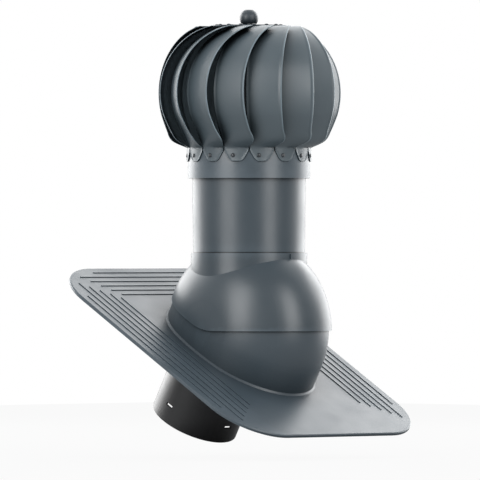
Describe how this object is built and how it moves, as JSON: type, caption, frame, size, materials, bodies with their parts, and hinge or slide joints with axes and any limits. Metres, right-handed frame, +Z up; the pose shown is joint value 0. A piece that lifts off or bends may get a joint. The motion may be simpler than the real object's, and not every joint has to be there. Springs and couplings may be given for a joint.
{
  "type": "roof turbine ventilator",
  "caption": "Wind-driven ball turbine of curved vanes on an insulated pipe, on a hood that swivels over a crowned roof flashing with water bars and a duct spigot below.",
  "frame": {"origin": "where the turbine's axis meets the roof plane, which is the underside of the flashing plate", "axes": "+Z up along the turbine's axis, X along the eaves, the roof falls towards -Y at 30 degrees"},
  "size_m": [0.366, 0.3982, 0.607],
  "materials": {
    "flashing_plastic": "satin, finely grained",
    "spigot_plastic": "satin",
    "hood_plastic": "satin",
    "pipe_plastic": "satin",
    "duct_plastic": "satin",
    "insulation": "soft foam",
    "seal_rubber": "matt",
    "bracket_paint": "satin",
    "vane_paint": "satin powder coat",
    "collar_paint": "satin powder coat",
    "knob_paint": "semi-gloss",
    "rivet_metal": "satin",
    "hub_metal": "turned",
    "steel": "zinc plated",
    "bearing_steel": "ground"
  },
  "bodies": {
    "roof_base": {"flashing_base": "flashing_plastic", "duct_spigot": "spigot_plastic", "spigot_screws": "steel", "dome_seals": "seal_rubber"},
    "hood": {"swivel_hood": "hood_plastic", "outer_pipe": "pipe_plastic", "inner_duct": "duct_plastic", "insulation_sleeve": "insulation", "axle_bracket": "bracket_paint", "bracket_screws": "steel", "axle": "steel", "axle_washers": "steel", "axle_nut": "steel", "axle_top_nut": "steel", "lower_bearing_inner": "bearing_steel", "upper_bearing_inner": "bearing_steel", "inner_spacer": "steel"},
    "turbine": {"rotor_collar": "collar_paint", "vane_01": "vane_paint", "vane_02": "vane_paint", "vane_03": "vane_paint", "vane_04": "vane_paint", "vane_05": "vane_paint", "vane_06": "vane_paint", "vane_07": "vane_paint", "vane_08": "vane_paint", "vane_09": "vane_paint", "vane_10": "vane_paint", "vane_11": "vane_paint", "vane_12": "vane_paint", "vane_13": "vane_paint", "vane_14": "vane_paint", "vane_15": "vane_paint", "petal_rivets": "rivet_metal", "disc_rivets": "rivet_metal", "hub_rivets": "rivet_metal", "top_disc": "collar_paint", "ball_knob": "knob_paint", "bearing_hub": "hub_metal", "bearing_circlip": "steel", "lower_bearing_outer": "bearing_steel", "upper_bearing_outer": "bearing_steel", "outer_spacer": "steel"}
  },
  "joints": [
    {"name": "hood_tilt", "type": "hinge", "parent": "roof_base", "child": "hood", "pos_m": [0, 0, 0.04388], "axis": [1, 0, 0], "range_deg": [-6, 25]},
    {"name": "turbine_spin", "type": "hinge", "parent": "hood", "child": "turbine", "pos_m": [0, 0, 0.37488], "axis": [0, 0, 1], "continuous": true}
  ]
}
